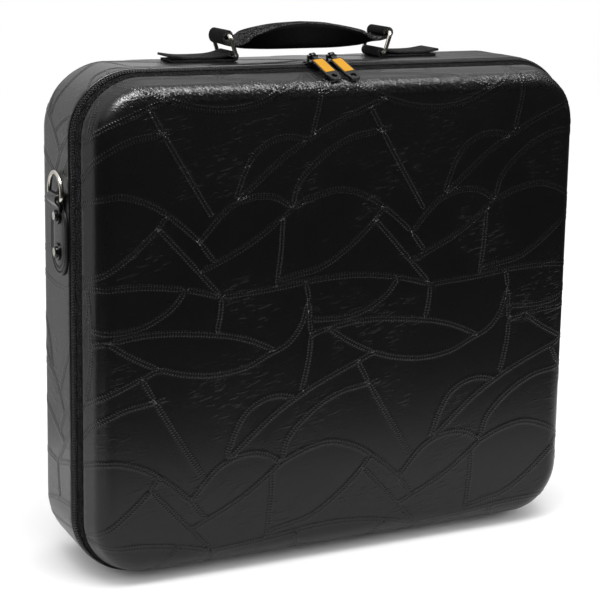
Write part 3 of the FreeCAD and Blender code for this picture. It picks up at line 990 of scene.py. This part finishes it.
def coil_bead(body):
    y_edge = TAPES[body][2]
    inwards = math.copysign(1.0, TAPES[body][0] - y_edge)
    far_y = y_edge + inwards * coil_width
    low = coil_height * bead_share
    near_inset = tape_inset(body, y_edge)
    far_inset = tape_inset(body, far_y)
    section = [(y_edge, near_inset), (y_edge, near_inset - low), (far_y, far_inset - low),
               (far_y + inwards * bead_slope, far_inset)]
    runs = np.arange(straight_half, outline_length - straight_half, sweep_step)
    mesh = swept_band(body + "_coil_bead", section, runs, False)
    return finish_piece(mesh, body, (zip_cloth,))


for body, start in (("lid", 0.0), ("back", coil_pitch / 2)):
    coil_turns(body, start)
    coil_bead(body)

# %% [markdown]
# Along the bottom the halves are joined by a strip of tape cloth. It is sewn to both tapes and folds at the
# zip line on the real case; here it is built as it lies at rest, tied to neither half.

# %% Hinge cloth
strip_thickness = 0.7
strip_lap = 6.0
strip_stations = 40
lid_rows = 9
back_rows = 7


def hinge_cloth():
    lid_ys = np.linspace(lid_edge_y - strip_lap, lid_edge_y, lid_rows)
    back_ys = np.linspace(back_edge_y, far_high.y, back_rows)
    upper = [(y, tape_inset("lid", y)) for y in lid_ys] + [(y, tape_inset("back", y)) for y in back_ys]
    section = upper + [(y, inset - strip_thickness) for y, inset in reversed(upper)]
    runs = np.linspace(0, 2 * straight_half, strip_stations)
    rings = [[(run - straight_half, y, inset) for y, inset in section] for run in runs]
    mesh = mesh_of_rings("hinge_cloth", rings, runs)
    piece = finish_piece(mesh, None, (zip_cloth,), ("hinge_strip",))
    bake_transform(piece)


hinge_cloth()

# %% [markdown]
# Straps are strips that follow a path, seen from the front. The path is the strap's outer face, and its
# thickness lies on the path's left. The grip's strap comes from inside its loop, goes round the ring's bar,
# runs along under the hand and ends in the other loop. Between the rings its two edges are folded up, so
# the rounded fold lies in the fingers and the underside shows as a dark leaf; that side is a darker copy of
# the webbing, painted shade.

# %% Straps
strip_points = 15


def strip_section(width, fold, thickness, fold_radius):
    """A strip's section, (across, up) from its middle: bent up on both sides by the fold angle."""
    flank = width / 2 - fold * (fold_radius - thickness / 2)
    half_arc = fold * fold_radius
    outer = []
    inner = []
    for a in np.linspace(-1, 1, strip_points) * (flank + half_arc):
        side = math.copysign(1.0, a)
        angle = min(abs(a) / fold_radius, fold)
        straight = max(abs(a) - half_arc, 0.0)
        y = fold_radius * math.sin(angle) + straight * math.cos(angle)
        h = fold_radius * (1 - math.cos(angle)) + straight * math.sin(angle)
        outer.append((side * y, h))
        inner.append((side * (y - thickness * math.sin(angle)), h + thickness * math.cos(angle)))
    return outer + inner[::-1]


def strap_mesh(name, path, y_middle, widths, folds, thicknesses, fold_radius=5.0):
    """A strip along a path of (x, z) points, with a width, fold and thickness for each of them."""
    path = np.asarray(path, float)
    heading = np.gradient(path, axis=0)
    heading /= np.linalg.norm(heading, axis=1)[:, None]
    rings = []
    for (x, z), (hx, hz), width, fold, thickness in zip(path, heading, widths, folds, thicknesses):
        section = strip_section(width, fold, thickness, fold_radius)
        rings.append([(x - hz * up, y_middle + across, z + hx * up) for across, up in section])
    return mesh_of_rings(name, rings, run_lengths(path))


def under_side(mesh):
    """Gives the outer face of a strip its second material: a darker copy of the webbing, as painted shade.
    """
    for index, face in enumerate(mesh.polygons):
        across = index % (2 * strip_points)
        face.material_index = int(across < strip_points - 1 and len(face.vertices) == 4)


def round_bar_path(centre, radii, start, end, count=14):
    """Points round a bar from one angle to another, in degrees, in the x-z plane."""
    angles = np.radians(np.linspace(start, end, count))
    return np.c_[centre[0] + radii[0] * np.cos(angles), centre[1] + radii[1] * np.sin(angles)]


def other_side(path, middle):
    """The same path mirrored about an upright line, walked the other way so that its left stays inside."""
    return (path * (-1, 1) + (2 * middle, 0))[::-1]


# %% [markdown]
# The grip is drawn as one half from a loop's end to the middle, and the other half is the mirrored path with
# its own loop. The loop that carries the ring on the right is rounder, so that the ring can turn in it when
# the handle swings.

# %% The grip
top_bar = pivot["handle_grip_pivot"]
anchor_bar = pivot["handle_swing"]
handle_middle = (anchor_bar.x + pivot["handle_ring_right_pivot"].x) / 2
grip_low, grip_high = (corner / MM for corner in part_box("handle_grip"))
webbing_width = 30.0
grip_width = 45.0
grip_fold = math.radians(80.0)
end_fold = math.radians(4.0)
grip_thickness = 3.6
loop_thickness = 2.3
# Each end's loop: its half width, its half height and how far it hangs below the ring's bar
ROLLS = {"left": (4.8, 6.3, 1.9), "right": (4.8, 4.8, 0.4)}
# Share of the half length from the middle, share of the fold, share of the way down to the grip
GRIP_STATIONS = ((0.93, 0.0, 0.3), (0.86, 0.06, 0.5), (0.78, 0.25, 0.7), (0.7, 0.45, 0.82),
                 (0.5, 0.69, 0.95), (0.3, 0.87, 1.0), (0.0, 1.0, 1.0))


def grip_end(half_wide, half_high, drop):
    """From a loop's end to the grip's middle, on the left: path, folds, widths and thicknesses."""
    reach = handle_middle - top_bar.x
    roll_low = top_bar.z - drop - half_high
    shape = np.clip(spline(GRIP_STATIONS, 0.02), 0, 1)
    run = np.c_[handle_middle - reach * shape[:, 0], roll_low + shape[:, 2] * (grip_low.z - roll_low)]
    loop = round_bar_path((top_bar.x, top_bar.z - drop), (half_wide, half_high), -25, 270)
    folds = np.concatenate([np.zeros(len(loop)), end_fold + shape[:, 1] * (grip_fold - end_fold)])
    widths = webbing_width + folds / grip_fold * (grip_width - webbing_width)
    depths = np.interp(folds, (0, end_fold, grip_fold), (loop_thickness, grip_thickness, grip_thickness))
    return np.vstack([loop, run]), folds, widths, depths


def grip_strap():
    left = grip_end(*ROLLS["left"])
    right = grip_end(*ROLLS["right"])
    path = np.vstack([left[0], other_side(right[0], handle_middle)[1:]])
    folds, widths, depths = (np.concatenate([a, b[::-1][1:]]) for a, b in zip(left[1:], right[1:]))
    mesh = strap_mesh("grip_strap", path, top_bar.y, widths, folds, depths)
    # The underside gets the darker webbing, painted shade
    under_side(mesh)
    piece = finish_piece(mesh, "handle_grip", (webbing, painted_shade_grip_cloth), ("handle_grip",))


grip_strap()

# %% [markdown]
# Each ring is held by a tab of webbing that lies on the case, goes round the ring's lower bar and comes back
# over itself. The end that comes back is cut free, so it lifts a little.

# %% Handle anchors
tab_thickness = 1.9
anchor_low, anchor_high = (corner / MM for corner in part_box("handle_anchor_left"))


def anchor_tab(side):
    """Webbing sewn flat on the case, round the ring's lower bar and back over itself; its end lifts."""
    radius = anchor_bar.z - case_height
    under = [(anchor_low.x + 1.5, case_height), (anchor_bar.x - 20, case_height),
             (anchor_bar.x - 8, case_height)]
    loop = round_bar_path((anchor_bar.x, anchor_bar.z), (radius, radius), -90, 90)
    top = case_height + 2 * tab_thickness
    over = [(anchor_bar.x - 9, top + 1.6), (anchor_bar.x - 20, top + 0.5), (anchor_low.x + 14, top + 0.5),
            (anchor_low.x - 1, top + 2.4)]
    path = np.vstack([under, loop, spline([tuple(loop[-1])] + over, 3.0)[1:]])
    if side == "right":
        path = other_side(path, handle_middle)
    count = len(path)
    mesh = strap_mesh("anchor_tab_" + side, path, anchor_bar.y, [webbing_width] * count, [0.0] * count,
                      [tab_thickness] * count)
    piece = finish_piece(mesh, "back", (dark_webbing,), ("handle_anchor_" + side,))


for side in ("left", "right"):
    anchor_tab(side)

# %% [markdown]
# On each side wall a stadium-shaped leather patch is riveted over the tail of a leather loop, and the loop
# holds a wire ring. The patch is made of rings of one stadium, each a little smaller: a rolled edge, a
# stitched channel and a padded field.

# %% Side patches
patch_low, patch_high = (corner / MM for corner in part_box("side_patch_left"))
patch_radius = (patch_high.y - patch_low.y) / 2
patch_straight = (patch_high.z - patch_low.z) / 2 - patch_radius
patch_middle = (patch_low + patch_high) / 2
# Inset from the patch's edge and height above the wall
PATCH_STEPS = ((0.0, 0.0), (0.0, 1.1), (0.4, 1.8), (1.2, 2.1), (2.0, 1.8), (2.5, 1.1), (3.0, 1.1),
               (3.5, 1.7), (4.4, 2.2), (5.4, 2.1), (6.2, 1.7), (8.0, 2.1), (11.0, 2.4), (14.0, 2.5),
               (17.5, 2.5))
# Bands that get the near-black: the outer edge (0, 1) is edge paint; the stitched channel (4 to 6) and the
# valley inside it (9, 10) are painted shade
EDGE_PAINT_AND_SHADE_STEPS = (0, 1, 4, 5, 6, 9, 10)


def stadium(radius, count=48):
    """Points (y, z) round a stadium that stands upright, about its own middle."""
    points = []
    for k in range(count):
        angle = 2 * math.pi * (k + 0.5) / count
        lift = math.copysign(patch_straight, math.sin(angle))
        points.append((radius * math.cos(angle), radius * math.sin(angle) + lift))
    return points


def on_wall(sign, height, y, z):
    """A place on a side wall, given by its height off the wall and its place from the patch's middle."""
    return (sign * (case_half + height), patch_middle.y + y, patch_middle.z + z)


def side_patch(side, sign):
    rings = []
    for inset, height in PATCH_STEPS:
        rings.append([on_wall(sign, height, y, z) for y, z in stadium(patch_radius - inset)])
    mesh = mesh_of_rings("patch_leather_" + side, rings, range(len(rings)))
    # Near-black bands: edge paint on the outer edge, painted shade in the channel and the valley
    for index, face in enumerate(mesh.polygons):
        face.material_index = int(index // len(rings[0]) in EDGE_PAINT_AND_SHADE_STEPS)
    piece = finish_piece(mesh, "back", (tab_leather, edge_paint_and_groove_shade), ("side_patch_" + side,))


# %% [markdown]
# The patch is sewn on before it is riveted, so short stitches of thick thread lie in the channel behind its
# rolled edge. They are bars again, laid end to end round a smaller stadium.

# %% Stitches in the patch's channel
channel_inset = 2.75
stitch_height = 1.25
thread_pitch = 3.4
thread_length = 2.5
thread_radius = 0.38
# Each ring's place along the stitch and its share of the full thickness
STITCH_RINGS = ((-0.5, 0.35), (-0.25, 0.9), (0.0, 1.0), (0.25, 0.9), (0.5, 0.35))


def stitches(side, sign):
    channel = np.array(stadium(patch_radius - channel_inset, 400))
    channel = np.vstack([channel, channel[:1]])
    runs = run_lengths(channel)
    points = []
    faces = []
    for middle in np.arange(thread_pitch / 2, runs[-1], thread_pitch):
        faces += bar_faces(len(points), len(STITCH_RINGS))
        for share, swell in STITCH_RINGS:
            run = (middle + share * thread_length) % runs[-1]
            y, z = (np.interp(run, runs, channel[:, axis]) for axis in (0, 1))
            out = np.array([y, z - math.copysign(min(abs(z), patch_straight), z)])
            out /= np.linalg.norm(out)
            for c, s in BAR_RING:
                aside = out * thread_radius * swell * c
                height = stitch_height + thread_radius * swell * s
                points.append(on_wall(sign, height, y + aside[0], z + aside[1]))
    mesh = bpy.data.meshes.new("patch_stitches_" + side)
    mesh.from_pydata((np.array(points) * MM).tolist(), [], faces)
    finish_piece(mesh, "back", (thread,))


# %% Loops that hold the side rings
loop_width = 22.0
strip_end_width = 11.0
loop_leather = 1.2
rivet_spacing = 29.0
side_bar = pivot["d_ring_hinge_left"]
rivets_low, rivets_high = (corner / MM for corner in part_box("patch_rivets_left"))
upper_rivet_z = (rivets_low.z + rivets_high.z + rivet_spacing) / 2


def side_loop(side):
    """A leather strip from behind the patch, over the ring's bar and down to the patch's upper rivet."""
    radius = -case_half - side_bar.x
    behind = [(-case_half, patch_high.z - 14), (-case_half, side_bar.z - 2)]
    loop = round_bar_path((side_bar.x, side_bar.z), (radius, radius), 0, 195)
    front = [(side_bar.x - radius + 0.5, side_bar.z - 3.0), (-case_half - 4.6, patch_high.z - 2),
             (-case_half - 3.9, upper_rivet_z + 4), (-case_half - 3.7, upper_rivet_z)]
    path = np.vstack([behind, loop, spline([tuple(loop[-1])] + front, 1.5)[1:]])
    widths = np.interp(path[:, 1], (upper_rivet_z, side_bar.z - 3), (strip_end_width, loop_width))
    widths[:len(behind) + 2] = loop_width
    if side == "right":
        path = other_side(path, 0.0)
        widths = widths[::-1]
    count = len(path)
    mesh = strap_mesh("ring_loop_" + side, path, side_bar.y, widths, [0.0] * count, [loop_leather] * count)
    finish_piece(mesh, "back", (tab_leather,), ("d_ring_loop_" + side,))


for side, sign in (("left", -1), ("right", 1)):
    side_patch(side, sign)
    stitches(side, sign)
    side_loop(side)

# %% [markdown]
# The rings, rivets, sliders and pulls keep their solids from the frame, because those shapes are right.
# They need their finish. The sliders and pulls get a small bevel in bare metal, whose brightness is a
# painted highlight along their edges. The flange round each rivet's cap takes the black paint, and the cap
# the nickel.

# %% Finish the solid trim
bevel_width = 0.5
cap_radius = 3.3
SOLID_FINISHES = {"zip_slider": (painted_zinc, bare_zinc_edge_highlight), "zip_pull": (painted_zinc, bare_zinc_edge_highlight),
                  "pull_plate": (enamel,), "handle_ring": (nickel,), "d_ring": (nickel,),
                  "patch_rivets": (nickel, painted_zinc)}
for node_name, finishes in SOLID_FINISHES.items():
    for side in ("left", "right"):
        solid = frame["nodes"][node_name + "_" + side]
        solid.data.materials.clear()
        for finish in finishes:
            solid.data.materials.append(finish)
        if bare_zinc_edge_highlight in finishes:
            merge = solid.modifiers.new("merge", "WELD")
            merge.merge_threshold = 0.002 * MM
            # The bevel's faces get the bare zinc, a painted highlight along the edges
            highlight_bevel = solid.modifiers.new("edge_highlight_bevel", "BEVEL")
            highlight_bevel.width = bevel_width * MM
            highlight_bevel.segments = 2
            highlight_bevel.limit_method = "ANGLE"
            highlight_bevel.angle_limit = math.radians(40)
            highlight_bevel.material = 1
        # Beyond the cap's radius the rivet takes the black paint, and within it the nickel
        if node_name == "patch_rivets":
            rivet_heights = (upper_rivet_z, upper_rivet_z - rivet_spacing)
            for face in solid.data.polygons:
                spot = solid.matrix_world @ face.center / MM
                aside = min(math.hypot(spot.y - side_bar.y, spot.z - z) for z in rivet_heights)
                face.material_index = int(aside > cap_radius)
print("finished solids:", ", ".join(SOLID_FINISHES))
